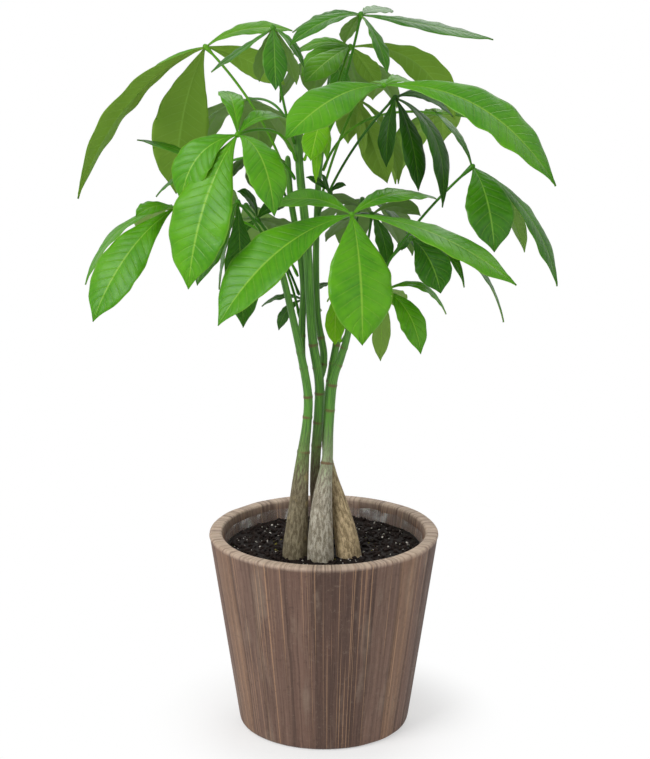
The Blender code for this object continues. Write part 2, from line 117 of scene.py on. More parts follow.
LEAVES: dict[str, LeafPlan] = {
    "leaf_front": LeafPlan(Tone.PAINTED_LIT, (17, -60, 354), "trunk_front", 0, 277, (
        (-80, -35, -61, 38, 12, 30), (6, -40, -72, 42, 13, 10), (99, -18, -40, 34, 9, -8),
        (54, 52, 1, 24, 8, -15), (-51, 44, -2, 22, 7, 20))),
    "leaf_left_front": LeafPlan(Tone.PAINTED_LIT, (-52, -50, 401), "trunk_back", 0, 380, (
        (23, -40, -43, 26, 13, -10), (-29, -35, -88, 41, 9, 20), (-34, -12, -39, 26, 10, 45),
        (-9, 36, 22, 16, 8, -15), (30, 34, 4, 16, 7, -15))),
    "leaf_right_top": LeafPlan(Tone.PAINTED_LIT, (37, -25, 428), "trunk_back", 1, 392, (
        (104, -27, -58, 39, 18, -30), (-60, -53, -26, 31, 8, 30), (22, 30, -4, 14, 4, -20),
        (-6, 44, -14, 17, 6, 10))),
    "leaf_right_dark": LeafPlan(Tone.PAINTED_SHADE, (45, 6, 417), "trunk_back", 1, 346, (
        (38, 22, -15, 15, 7, -30), (29, -30, -65, 21, 17, 10), (14, -28, -55, 18, 7, 15),
        (-6, -22, -41, 15, 7, -30), (27, 2, -41, 9, 8, -10))),
    "leaf_back_centre": LeafPlan(Tone.PALE, (22, 42, 412), "trunk_back", 1, 352, (
        (20, 12, -57, 22, 0, 45), (28, 28, -60, 20, 10, -10), (-20, 0, -24, 10, 5, 25),
        (-6, 34, -34, 20, 8, 10), (4, 6, -38, 12, 1, -25))),
    "leaf_right": LeafPlan(Tone.MATURE, (93, -12, 376), "trunk_front", 0, 272, (
        (12, -34, -48, 32, 8, -10), (54, -12, -74, 25, 11, -5), (-24, 30, 32, 13, 5, -20),
        (22, 34, -50, 22, 6, -10), (36, 18, -58, 20, 6, 0))),
    "leaf_top": LeafPlan(Tone.MATURE, (23, 0, 469), "trunk_back", 1, 403, (
        (84, 18, -17, 22, 1, -20), (20, 46, 0, 16, 1, -10), (-44, -26, -17, 15, 5, 20),
        (-43, 24, -13, 16, 4, 25), (16, -24, -34, 15, 4, 25), (-10, 22, -20, 13, 2, 5))),
    "leaf_top_back": LeafPlan(Tone.PALE, (17, 36, 446), "trunk_back", 1, 398, (
        (69, 20, -49, 31, 16, 30), (-37, 12, -6, 14, 5, 30), (-31, -10, -18, 15, 5, 40),
        (19, 26, -28, 15, 1, 30), (-29, -36, -19, 20, 2, 25))),
    "leaf_top_left": LeafPlan(Tone.MATURE, (-31, -14, 462), "trunk_back", 0, 390, (
        (2, -30, -35, 16, 3, 20), (19, -8, -24, 10, 3, -10), (-38, -10, -26, 13, 0, 5),
        (14, 30, -38, 15, 3, -25), (-10, 28, -36, 15, 3, 30))),
    "leaf_upper_left": LeafPlan(Tone.PALE, (-75, 24, 447), "trunk_left", 1, 372, (
        (-80, -32, -92, 37, 15, -40), (-54, -6, -45, 20, 9, 10), (-22, 22, -98, 38, 8, -30),
        (55, 14, 9, 17, 6, -20), (50, 24, -27, 19, 4, 60))),
    "leaf_left_low": LeafPlan(Tone.PAINTED_LIT, (-95, 4, 347), "trunk_left", 1, 302, (
        (-58, -4, -49, 20, 12, 8), (-50, -36, -66, 33, 8, 30), (-22, -32, 0, 13, 4, 25),
        (16, 44, -30, 18, 5, -20), (-26, 42, -24, 22, 6, 10))),
    "leaf_inner": LeafPlan(Tone.PAINTED_SHADE, (-41, 26, 378), "trunk_left", 1, 350, (
        (-4, 16, -26, 15, 4, 0), (8, -8, -30, 14, 3, 0), (-20, 14, -18, 15, 4, 0),
        (18, 16, -14, 14, 4, 0))),
    "leaf_left_inner": LeafPlan(Tone.MATURE, (-54, -14, 354), "trunk_left", 0, 323, (
        (-24, -36, -46, 23, 6, 5), (4, -30, -74, 28, 0, 35), (-13, 8, -58, 19, 2, 45),
        (20, 12, -42, 17, 4, -20))),
    "leaf_mid_left": LeafPlan(Tone.PAINTED_SHADE, (-43, 20, 337), "trunk_left", 1, 290, (
        (-12, -10, 20, 11, 4, 60), (18, 24, 6, 11, 3, -25), (-10, -9, -8, 8, 1, 0),
        (24, 36, -19, 16, 3, 30), (-24, 30, -16, 18, 4, 0))),
    "leaf_mid_right": LeafPlan(Tone.PAINTED_SHADE, (31, 16, 341), "trunk_right", 0, 273, (
        (32, 12, -3, 13, 6, 50), (-28, 28, 4, 14, 5, -40), (10, -22, -30, 13, 5, 10),
        (22, 54, -34, 20, 7, -15), (-30, 44, -26, 18, 6, 10))),
    "leaf_right_low": LeafPlan(Tone.MATURE, (56, 2, 328), "trunk_right", 0, 268, (
        (18, -20, -32, 24, 5, -30), (-9, -12, -6, 6, 1, 20), (34, -6, -31, 13, 9, -20),
        (61, 8, -57, 22, 15, -12), (20, 38, -30, 20, 6, 0))),
    "leaf_right_bottom": LeafPlan(Tone.PAINTED_LIT, (39, 6, 293), "trunk_right", 0, 258, (
        (41, 10, -18, 13, 11, -15), (23, -22, -37, 18, 8, -30), (-2, 8, -49, 14, 2, 20),
        (12, 40, -22, 16, 5, 0))),
    "leaf_centre_low": LeafPlan(Tone.YOUNG, (8, -11, 296), "trunk_front", 0, 262, (
        (-1, -18, -31, 13, 2, 0), (-6, 10, -9, 5, 1, 40))),
    "leaf_low_back": LeafPlan(Tone.PAINTED_SHADE, (-14, 44, 279), "trunk_left", 1, 268, (
        (-28, 14, -8, 10, 4, 15), (-16, -10, -19, 9, 4, 15), (19, 20, 7, 9, 2, 0),
        (12, 28, -15, 11, 3, -30))),
    "leaf_centre": LeafPlan(Tone.YOUNG, (0, -8, 410), "trunk_back", 0, 378, (
        (-8, -34, -26, 17, 2, 0), (-5, -12, -43, 10, 3, -30), (2, -2, -30, 8, 1, 0))),
    "leaf_young": LeafPlan(Tone.PAINTED_SHADE, (4, -6, 358), "trunk_back", 1, 340, (
        (-15, -3, 11, 7, 2, 35), (-5, -4, 13, 5, 0, 60), (10, -4, 6, 5, 2, -40))),
    "leaf_left_mid": LeafPlan(Tone.MATURE, (-71, 10, 372), "trunk_back", 0, 366, (
        (-48, 6, 17, 15, 3, 10), (-36, -4, -18, 15, 5, 5), (10, 36, -40, 19, 5, -30),
        (-4, 44, -26, 20, 6, 0))),
    "leaf_back_top": LeafPlan(Tone.MATURE, (8, 84, 436), "trunk_back", 1, 390, (
        (-38, 22, -34, 25, 10, 0), (-16, 52, -34, 27, 12, 0), (18, 56, -40, 27, 12, 0),
        (42, 24, -38, 25, 10, 0), (4, -18, -34, 15, 4, 0))),
    "leaf_back_left": LeafPlan(Tone.MATURE, (-50, 72, 408), "trunk_back", 0, 382, (
        (-46, 8, -46, 27, 9, 0), (-36, 44, -44, 29, 12, 0), (6, 56, -50, 29, 13, 0),
        (34, 30, -46, 25, 9, 0))),
    "leaf_back_right": LeafPlan(Tone.PALE, (76, 60, 400), "trunk_back", 1, 368, (
        (48, 12, -8, 18, 3, -30), (6, 56, -26, 26, 10, 0), (-22, 50, -44, 26, 11, 0),
        (-28, 22, -50, 22, 8, 0))),
    "leaf_back_low": LeafPlan(Tone.PAINTED_SHADE, (26, 80, 340), "trunk_right", 0, 262, (
        (-36, 26, -40, 25, 10, 0), (-8, 54, -50, 28, 12, 0), (36, 38, -46, 27, 11, 0),
        (36, -4, -34, 20, 7, 0))),
    "leaf_back_low_left": LeafPlan(Tone.MATURE, (-52, 68, 338), "trunk_left", 1, 276, (
        (-46, 6, -36, 24, 9, 0), (-30, 40, -44, 27, 11, 0), (10, 48, -48, 27, 11, 0),
        (32, 14, -36, 22, 7, 0))),
}

def srgb(red: int, green: int, blue: int) -> Colour:
    """The linear colour of three sRGB values from 0 to 255."""
    parts = np.array([red, green, blue]) / 255.0
    low, high = parts / 12.92, ((parts + 0.055) / 1.055) ** 2.4
    return tuple(float(c) for c in np.where(parts <= 0.04045, low, high))


def ease(low: float, high: float, value: Array) -> Array:
    """A smooth step from 0 at low to 1 at high: 3x^2 - 2x^3 of the clamped fraction x."""
    part = np.clip((value - low) / (high - low), 0.0, 1.0)
    return part * part * (3 - 2 * part)


def ripple(seed: int, *axes: Array, waves: int = 5, spread: float = 3.0) -> Array:
    """A smooth random field from -1 to 1: the mean of sines whose rates and phases come from seed.

    Args:
        seed: which field.
        axes: coordinate arrays of one shape.
        waves: how many sines are added.
        spread: the greatest rate along an axis, in radians per unit.

    Returns:
        The field, in the shape of the axes.
    """
    draw = np.random.default_rng(seed)
    total = np.zeros(np.broadcast(*axes).shape)
    for _ in range(waves):
        rates = draw.uniform(0.3, 1.0, len(axes)) * spread * draw.choice([-1, 1], len(axes))
        phase = draw.uniform(0, 2 * np.pi)
        total = total + np.sin(sum(rate * axis for rate, axis in zip(rates, axes)) + phase)
    return total / waves


def unit(vectors: Array) -> Array:
    """Vectors scaled to length one."""
    return vectors / np.maximum(np.linalg.norm(vectors, axis=-1, keepdims=True), 1e-12)


@dataclass
class Shape:
    """A mesh in the making: vertices, quads or triangles, and values that its finish reads."""

    vertices: list[Array] = field(default_factory=list)
    faces: list[Array] = field(default_factory=list)
    values: dict[str, list[Array]] = field(default_factory=dict)
    count: int = 0

    def add(self, vertices: Array, faces: Array, **values: Array) -> None:
        """Add one body.

        Args:
            vertices: places, one row each.
            faces: rows of four vertex numbers; a triangle repeats its last one.
            values: one number, or a row of three, for each vertex.
        """
        self.vertices.append(vertices)
        self.faces.append(faces + self.count)
        for name, value in values.items():
            self.values.setdefault(name, []).append(value)
        self.count += len(vertices)

    def add_loft(self, rings: Array, **values: Array) -> None:
        """Add a closed body skinned over rings, whose first and last ring close on their own centre.

        Args:
            rings: an array of (ring, point, 3), each ring turning anticlockwise seen from its far end.
            values: arrays of (ring, point) or (ring, point, 3).
        """
        count, around = rings.shape[:2]
        index = np.arange(count * around).reshape(count, around)
        nxt = np.roll(index, -1, axis=1)
        sides = np.stack([index[:-1], nxt[:-1], nxt[1:], index[1:]], -1).reshape(-1, 4)
        low, high = count * around, count * around + 1
        bottom = np.stack([np.full(around, low), nxt[0], index[0], index[0]], -1)
        top = np.stack([np.full(around, high), index[-1], nxt[-1], nxt[-1]], -1)
        centres = np.stack([rings[0].mean(0), rings[-1].mean(0)])
        flat = {}
        for name, value in values.items():
            rows = value.reshape(count * around, -1)
            ends = np.stack([value[0].reshape(around, -1).mean(0), value[-1].reshape(around, -1).mean(0)])
            flat[name] = np.vstack([rows, ends])
        self.add(np.vstack([rings.reshape(-1, 3), centres]), np.vstack([sides, bottom, top]), **flat)

    def build(self, name: str, finish: bpy.types.Material, slot: str, *nodes: str) -> bpy.types.Object:
        """Make the object, dress it, let it ride on the plant's body and stand for the named CAD nodes.

        Args:
            name: the piece's name.
            finish: its material.
            slot: not used.
            nodes: the CAD nodes that it stands for.

        Returns:
            The new object.
        """
        mesh = bpy.data.meshes.new(name)
        places, quads = np.vstack(self.vertices), np.vstack(self.faces)
        solid = quads[:, 2] != quads[:, 3]
        loops = np.concatenate([quads[solid].ravel(), quads[~solid][:, :3].ravel()])
        sizes = np.concatenate([np.full(solid.sum(), 4), np.full((~solid).sum(), 3)])
        mesh.vertices.add(len(places))
        mesh.vertices.foreach_set("co", places.astype(np.float32).ravel())
        mesh.loops.add(len(loops))
        mesh.loops.foreach_set("vertex_index", loops.astype(np.int32))
        mesh.polygons.add(len(sizes))
        mesh.polygons.foreach_set("loop_start", (np.cumsum(sizes) - sizes).astype(np.int32))
        mesh.polygons.foreach_set("use_smooth", np.ones(len(sizes), bool))
        mesh.update(calc_edges=True)
        mesh.validate()
        for key, parts in self.values.items():
            value = np.vstack([part.reshape(len(part), -1) for part in parts])
            kind = "FLOAT_VECTOR" if value.shape[1] == 3 else "FLOAT"
            layer = mesh.attributes.new(key, kind, "POINT")
            layer.data.foreach_set("vector" if value.shape[1] == 3 else "value",
                                   value.astype(np.float32).ravel())
        mesh.materials.append(finish)
        made = bpy.data.objects.new(name, mesh)
        bpy.context.scene.collection.objects.link(made)
        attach(made, "root")
        if nodes:
            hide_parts(*nodes)
        LOG.info("%s: %d vertices, %d faces", name, len(places), len(sizes))
        return made


def along(points: Array, t: Array) -> Array:
    """Places on a Catmull-Rom curve through points, at t from 0 to len(points) - 1."""
    last = len(points) - 1
    i = np.clip(t.astype(int), 0, last - 1)
    f = (t - i)[:, None]
    before, a, b, after = (points[np.clip(i + k, 0, last)] for k in (-1, 0, 1, 2))
    return 0.5 * (2 * a + (b - before) * f + (2 * before - 5 * a + 4 * b - after) * f ** 2
                  + (3 * a - 3 * b + after - before) * f ** 3)


def carried_frame(path: Array) -> tuple[Array, Array]:
    """Two unit vectors square to a path, at each of its points.

    The first is a fixed direction made square to the tangent, so a tube's seam stays on one side; the
    second is the tangent's cross product with the first.

    Args:
        path: an array of places.

    Returns:
        The first and the second vectors, as two arrays.
    """
    tangent = unit(np.gradient(path, axis=0))
    mean = unit(path[-1] - path[0])
    least = np.eye(3)[np.argmin(np.abs(mean))]
    side = unit(least - tangent * (tangent @ least)[:, None])
    return side, np.cross(tangent, side)


def tube_rings(path: Array, radius: Array, around: int) -> tuple[Array, Array]:
    """Rings of a tube: centre + radius * (cos(a) side + sin(a) other).

    Args:
        path: the centre line.
        radius: an array of (ring,) or (ring, around).
        around: points in a ring.

    Returns:
        The rings, and the angle at each of their points.
    """
    side, other = carried_frame(path)
    angle = np.arange(around) / around * 2 * np.pi
    radius = np.broadcast_to(radius.reshape(len(path), -1), (len(path), around))
    spokes = np.cos(angle)[None, :, None] * side[:, None] + np.sin(angle)[None, :, None] * other[:, None]
    return path[:, None] + radius[..., None] * spokes, np.broadcast_to(angle, radius.shape)


Source = float | tuple[float, ...] | bpy.types.NodeSocket


class Nodes:
    """A short way of wiring a material's nodes."""

    def __init__(self, name: str) -> None:
        """Start a material with a Principled shader wired to its output."""
        self.material = bpy.data.materials.new(name)
        self.material.use_nodes = True
        self.tree = self.material.node_tree
        self.shader = self.tree.nodes["Principled BSDF"]
        self.output = self.tree.nodes["Material Output"]

    def add(self, kind: str, **values: object) -> bpy.types.Node:
        """Add a node; values set its properties, or feed or set its inputs by name.

        Args:
            kind: the node's type.
            values: a property's value, or an input's value or source, with _ for a space.

        Returns:
            The node.
        """
        node = self.tree.nodes.new(kind)
        for key, value in values.items():
            if hasattr(node, key) and not key[0].isupper():
                setattr(node, key, value)
            else:
                self.feed(node, key.replace("_", " "), value)
        return node

    def feed(self, node: bpy.types.Node, key: str | int, value: Source) -> None:
        """Set an input, or link a socket to it."""
        socket = node.inputs[key]
        if isinstance(value, bpy.types.NodeSocket):
            self.tree.links.new(value, socket)
        elif isinstance(value, tuple) and len(value) == 3 and socket.type == "RGBA":
            socket.default_value = (*value, 1.0)
        else:
            socket.default_value = value

    def math(self, operation: str, *terms: Source) -> bpy.types.NodeSocket:
        """A Math node's result."""
        node = self.add("ShaderNodeMath", operation=operation)
        for place, term in enumerate(terms):
            self.feed(node, place, term)
        return node.outputs[0]

    def step(self, value: Source, low: float, high: float) -> bpy.types.NodeSocket:
        """A smooth step from 0 at low to 1 at high."""
        node = self.add("ShaderNodeMapRange", interpolation_type="SMOOTHSTEP")
        for key, term in (("Value", value), ("From Min", low), ("From Max", high)):
            self.feed(node, key, term)
        return node.outputs["Result"]

    def mix(self, part: Source, first: Source, second: Source) -> bpy.types.NodeSocket:
        """A colour mixed from first to second by part."""
        node = self.add("ShaderNodeMix", data_type="RGBA")
        for place, term in ((0, part), (6, first), (7, second)):
            self.feed(node, place, term)
        return node.outputs[2]

    def value(self, name: str) -> bpy.types.NodeSocket:
        """The mesh's own attribute of that name, as a number."""
        return self.add("ShaderNodeAttribute", attribute_name=name).outputs["Fac"]

    def vector(self, name: str) -> bpy.types.NodeSocket:
        """The mesh's own attribute of that name, as a row of three."""
        return self.add("ShaderNodeAttribute", attribute_name=name).outputs["Vector"]

    def noise(self, vector: bpy.types.NodeSocket, scale: float, detail: float = 3.0,
              rough: float = 0.55) -> bpy.types.NodeSocket:
        """Noise from 0 to 1 at a scale."""
        node = self.add("ShaderNodeTexNoise", Vector=vector, Scale=scale, Detail=detail, Roughness=rough)
        return node.outputs["Fac"]

    def stretch(self, vector: bpy.types.NodeSocket, scale: tuple[float, ...]) -> bpy.types.NodeSocket:
        """A vector scaled along its axes."""
        node = self.add("ShaderNodeMapping")
        self.feed(node, "Vector", vector)
        node.inputs["Scale"].default_value = scale
        return node.outputs["Vector"]

    def place(self) -> bpy.types.NodeSocket:
        """The point's own place, in metres."""
        return self.add("ShaderNodeTexCoord").outputs["Object"]

    def bump(self, height: Source, distance: float, strength: float = 1.0,
             normal: bpy.types.NodeSocket | None = None) -> bpy.types.NodeSocket:
        """A normal bent by a height, starting from another bent normal if one is given."""
        node = self.add("ShaderNodeBump", Height=height, Distance=distance, Strength=strength)
        if normal is not None:
            self.feed(node, "Normal", normal)
        return node.outputs["Normal"]

    def surface(self, **values: Source) -> None:
        """Set or feed the Principled shader's inputs."""
        for key, value in values.items():
            self.feed(self.shader, key.replace("_", " "), value)


@dataclass(frozen=True)
class LeafFinish:
    """A leaf's finish: green between paler veins, paler underneath, with light coming through."""

    name: str
    upper: Colour
    deep: Colour
    under: Colour
    vein: Colour
    sheen: float = 0.35
    through: float = 0.28

    def material(self) -> bpy.types.Material:
        """Make the material.

        The attribute blade holds (across from -1 to 1, count of side veins, 1 on the underside), and shade
        a random number for each leaflet. A side vein lies where the count less the slant of the vein over
        the half width is a whole number.
        """
        n = Nodes(self.name)
        split = n.add("ShaderNodeSeparateXYZ", Vector=n.vector("blade"))
        across, count, under = split.outputs
        off = n.math("ABSOLUTE", across)
        wave = n.math("PINGPONG", n.math("SUBTRACT", count, n.math("MULTIPLY", off, VEIN_SLANT)), 0.5)
        side_vein = n.math("MULTIPLY", n.step(wave, 0.10, 0.0), n.step(off, 0.98, 0.55))
        midrib = n.step(off, 0.055, 0.012)
        margin = n.step(off, 0.93, 1.0)
        veins = n.math("MAXIMUM", n.math("MULTIPLY", midrib, 0.8), n.math("MULTIPLY", side_vein, 0.26))
        veins = n.math("MAXIMUM", veins, n.math("MULTIPLY", margin, 0.45))
        patches = n.step(n.noise(n.place(), 38.0, 4.0), 0.34, 0.68)
        fleck = n.step(n.noise(n.place(), 420.0, 3.0), 0.3, 0.75)
        green = n.mix(patches, self.deep, self.upper)
        green = n.mix(n.math("MULTIPLY", n.value("shade"), 0.55), green, self.deep)
        green = n.mix(n.math("MULTIPLY", fleck, 0.08), green, self.vein)
        # painted highlight: the quilted bulges between side veins are painted towards the lighter upper
        # green, so the furrows along the veins stay darker
        green = n.mix(n.math("MULTIPLY", n.step(wave, 0.16, 0.5), 0.30), green, self.upper)
        green = n.mix(veins, green, self.vein)
        back = n.mix(n.math("MULTIPLY", n.math("MAXIMUM", midrib, n.math("MULTIPLY", side_vein, 0.7)), 0.75),
                     self.under, self.vein)
        colour = n.mix(under, green, back)
        cells = n.add("ShaderNodeTexVoronoi", feature="DISTANCE_TO_EDGE", Vector=n.place(), Scale=900.0)
        net = n.step(cells.outputs["Distance"], 0.0, 0.18)
        relief = n.bump(net, 0.00006, 0.5)
        relief = n.bump(n.math("SUBTRACT", 1.0, side_vein), 0.00022, 0.8, relief)
        rough = n.math("ADD", self.sheen, n.math("MULTIPLY", under, 0.2))
        n.surface(Base_Color=colour, Roughness=rough, Normal=relief)
        n.shader.inputs["Specular IOR Level"].default_value = 0.30
        glow = n.add("ShaderNodeBsdfTranslucent", Color=colour)
        both = n.add("ShaderNodeMixShader")
        both.inputs[0].default_value = self.through
        n.tree.links.new(n.shader.outputs[0], both.inputs[1])
        n.tree.links.new(glow.outputs[0], both.inputs[2])
        n.tree.links.new(both.outputs[0], n.output.inputs["Surface"])
        return n.material


LEAF_FINISHES = {
    # painted light: the mature leaf colours made lighter, for leaves the light falls on
    Tone.PAINTED_LIT: LeafFinish("leaf_painted_lit", srgb(104, 180, 12), srgb(70, 148, 6), srgb(140, 180, 72),
                            srgb(150, 202, 62), 0.31),
    Tone.MATURE: LeafFinish("leaf_mature", srgb(76, 148, 12), srgb(44, 108, 4), srgb(132, 172, 78),
                            srgb(134, 188, 66), 0.32),
    # painted shade: the mature leaf colours made darker, for leaves in shade
    Tone.PAINTED_SHADE: LeafFinish("leaf_painted_shade", srgb(54, 116, 6), srgb(28, 80, 2), srgb(104, 142, 62),
                            srgb(104, 156, 48), 0.36),
    Tone.PALE: LeafFinish("leaf_pale", srgb(112, 178, 34), srgb(80, 148, 20), srgb(150, 190, 70),
                          srgb(168, 208, 92), 0.38, 0.36),
    Tone.YOUNG: LeafFinish("leaf_young_green", srgb(140, 206, 16), srgb(108, 182, 14), srgb(170, 210, 66),
                           srgb(184, 224, 84), 0.34, 0.36),
}


@dataclass(frozen=True)
class BarkFinish:
    """A trunk's finish: grey-brown bark at the foot, scarred, turning to smooth green stem above."""

    name: str
    grey: Colour
    brown: Colour
    tan: Colour
    green: Colour = srgb(100, 164, 46)
    dark_green: Colour = srgb(58, 112, 28)
    scar: Colour = srgb(104, 66, 38)
    dark: Colour = srgb(60, 50, 38)
    bark_top: float = 0.185

    def material(self) -> bpy.types.Material:
        """Make the material. The attribute stem holds (cos, sin of the way round, metres along)."""
        n = Nodes(self.name)
        stem = n.vector("stem")
        height = n.add("ShaderNodeSeparateXYZ", Vector=n.place()).outputs["Z"]
        streak = n.noise(n.stretch(stem, (1.8, 1.8, 95.0)), 2.4, 6.0, 0.65)
        patch = n.noise(n.place(), 120.0, 5.0, 0.6)
        fine = n.noise(n.stretch(stem, (4.0, 4.0, 260.0)), 4.0, 5.0, 0.7)
        bark = n.mix(n.step(streak, 0.40, 0.62), self.brown, self.grey)
        bark = n.mix(n.math("MULTIPLY", n.step(patch, 0.56, 0.72), 0.6), bark, self.tan)
        bark = n.mix(n.math("MULTIPLY", n.step(fine, 0.52, 0.68), 0.75), bark, self.dark)
        stalk = n.mix(n.step(n.noise(n.stretch(stem, (3.0, 3.0, 30.0)), 2.0, 4.0), 0.38, 0.66),
                      self.dark_green, self.green)
        edge = n.math("ADD", height, n.math("MULTIPLY", n.math("SUBTRACT", streak, 0.5), 0.075))
        turning = n.step(edge, self.bark_top - 0.02, self.bark_top + 0.034)
        colour = n.mix(turning, bark, stalk)
        scar = n.math("MULTIPLY", n.step(n.value("scar"), 0.15, 0.8), 0.75)
        colour = n.mix(scar, colour, self.scar)
        rough = n.math("SUBTRACT", 0.82, n.math("MULTIPLY", turning, 0.36))
        relief = n.bump(fine, 0.0005, 0.7)
        relief = n.bump(streak, 0.0008, 0.55, relief)
        n.surface(Base_Color=colour, Roughness=rough, Normal=relief)
        return n.material


BARK_FINISHES = {
    "trunk_left": BarkFinish("bark_brown", srgb(138, 128, 102), srgb(92, 82, 60), srgb(164, 146, 102)),
    "trunk_front": BarkFinish("bark_grey", srgb(190, 183, 166), srgb(128, 120, 102), srgb(150, 138, 112)),
    "trunk_right": BarkFinish("bark_tan", srgb(200, 178, 140), srgb(134, 116, 84), srgb(214, 192, 144)),
    "trunk_back": BarkFinish("bark_dull", srgb(140, 128, 104), srgb(96, 84, 62), srgb(150, 134, 98)),
}


@dataclass(frozen=True)
class WoodFinish:
    """The pot's finish: whitewashed brown staves, each of its own shade, with grain and worn edges."""

    name: str = "whitewashed_staves"
    wash: Colour = srgb(122, 95, 81)
    brown: Colour = srgb(94, 66, 54)
    grey: Colour = srgb(136, 118, 102)
    dark: Colour = srgb(56, 38, 30)
    line: Colour = srgb(176, 138, 104)
    worn: Colour = srgb(200, 178, 158)

    def material(self) -> bpy.types.Material:
        """Make the material.

        The attribute stave holds (cos, sin of the way round, height as a part of the pot's), shade the
        stave's own shade, seam how near the point is to a joint, and edge how near it is to the rim.
        """
        n = Nodes(self.name)
        stave = n.vector("stave")
        shade = n.value("shade")
        warp = n.noise(n.stretch(stave, (1.5, 1.5, 1.4)), 2.0, 2.0)
        grain_at = n.add("ShaderNodeVectorMath", operation="ADD")
        n.tree.links.new(n.stretch(stave, (22.0, 22.0, 0.5)), grain_at.inputs[0])
        n.feed(grain_at, 1, n.add("ShaderNodeCombineXYZ", X=n.math("MULTIPLY", warp, 2.2)).outputs[0])
        grain = n.noise(grain_at.outputs[0], 1.7, 8.0, 0.62)
        fibre = n.noise(n.stretch(stave, (70.0, 70.0, 2.4)), 2.4, 6.0, 0.7)
        cloud = n.noise(n.stretch(stave, (2.6, 2.6, 1.6)), 1.6, 4.0)
        base = n.mix(n.step(grain, 0.32, 0.68), self.dark, self.wash)
        base = n.mix(0.42, base, n.mix(shade, self.brown, self.wash))
        base = n.mix(n.math("MULTIPLY", n.step(shade, 0.32, 0.0), 0.55), base, self.dark)
        base = n.mix(n.math("MULTIPLY", n.step(cloud, 0.54, 0.70), 0.5), base, self.grey)
        base = n.mix(n.math("MULTIPLY", n.step(cloud, 0.46, 0.30), 0.4), base, self.brown)
        base = n.mix(n.math("MULTIPLY", n.step(fibre, 0.56, 0.78), 0.4), base, self.dark)
        base = n.mix(n.math("MULTIPLY", n.step(fibre, 0.42, 0.24), 0.35), base, self.line)
        threads = n.noise(n.stretch(stave, (46.0, 46.0, 0.32)), 1.9, 2.0, 0.4)
        base = n.mix(n.math("MULTIPLY", n.step(threads, 0.62, 0.68), 0.62), base, self.line)
        base = n.mix(n.math("MULTIPLY", n.value("light"), 0.20), base, self.line)
        base = n.mix(n.math("MULTIPLY", n.value("seam"), 0.5), base, self.dark)
        worn = n.math("MULTIPLY", n.value("edge"), n.step(grain, 0.25, 0.6))
        base = n.mix(n.math("MULTIPLY", worn, 0.8), base, self.worn)
        mottle = n.noise(n.place(), 330.0, 6.0, 0.75)
        base = n.mix(n.math("MULTIPLY", n.step(mottle, 0.54, 0.70), 0.32), base, self.grey)
        base = n.mix(n.math("MULTIPLY", n.step(mottle, 0.46, 0.32), 0.40), base, self.dark)
        relief = n.bump(grain, 0.0006, 0.5)
        relief = n.bump(mottle, 0.0005, 0.5, relief)
        rough = n.math("ADD", 0.60, n.math("MULTIPLY", fibre, 0.25))
        n.surface(Base_Color=base, Roughness=rough, Normal=relief)
        return n.material


@dataclass(frozen=True)
class CrumbFinish:
    """A finish for soil and for what lies on it: two colours in specks, painted shade in the hollows of
    the lumps, dull or slightly damp.
    """

    name: str
    main: Colour
    speck: Colour
    amount: float
    roughness: float = 0.9
    scale: float = 900.0

    def material(self) -> bpy.types.Material:
        """Make the material: noise picks between the main colour and the specks, and the hollows of the
        lumps are darkened as painted shade.
        """
        n = Nodes(self.name)
        grains = n.noise(n.place(), self.scale, 4.0, 0.7)
        lumps = n.noise(n.place(), self.scale / 5, 5.0, 0.65)
        part = n.step(grains, 0.66 - self.amount, 0.78 - self.amount)
        colour = n.mix(part, self.main, self.speck)
        # painted shade: the main colour darkened to 0.45 where the lumps' bump dips, as shade in the hollows
        colour = n.mix(n.step(lumps, 0.35, 0.62), tuple(c * 0.45 for c in self.main), colour)
        relief = n.bump(grains, 0.0006, 0.8)
        n.shader.inputs["Specular IOR Level"].default_value = 0.18
        n.surface(Base_Color=colour, Roughness=n.math("SUBTRACT", self.roughness,
                                                      n.math("MULTIPLY", lumps, 0.25)),
                  Normal=n.bump(lumps, 0.0012, 0.8, relief))
        return n.material


@dataclass(frozen=True)
class FilmFinish:
    """Clear glossy film, seen mostly by its highlights."""

    name: str = "clear_film"
    tint: Colour = srgb(226, 228, 224)

    def material(self) -> bpy.types.Material:
        """Make the material: nearly see-through, with painted glints: whiter and less clear along its
        creases.
        """
        n = Nodes(self.name)
        crease = n.noise(n.stretch(n.place(), (1.0, 1.0, 0.6)), 70.0, 3.0)
        # painted glints: where the creases rise, the film turns whiter and less clear, standing in for the
        # light it catches
        alpha = n.math("ADD", 0.04, n.math("MULTIPLY", n.step(crease, 0.52, 0.70), 0.26))
        n.surface(Base_Color=n.mix(crease, self.tint, (1.0, 1.0, 1.0)), Alpha=alpha,
                  Roughness=n.math("ADD", 0.06, n.math("MULTIPLY", crease, 0.1)),
                  Normal=n.bump(crease, 0.0015, 0.7))
        return n.material


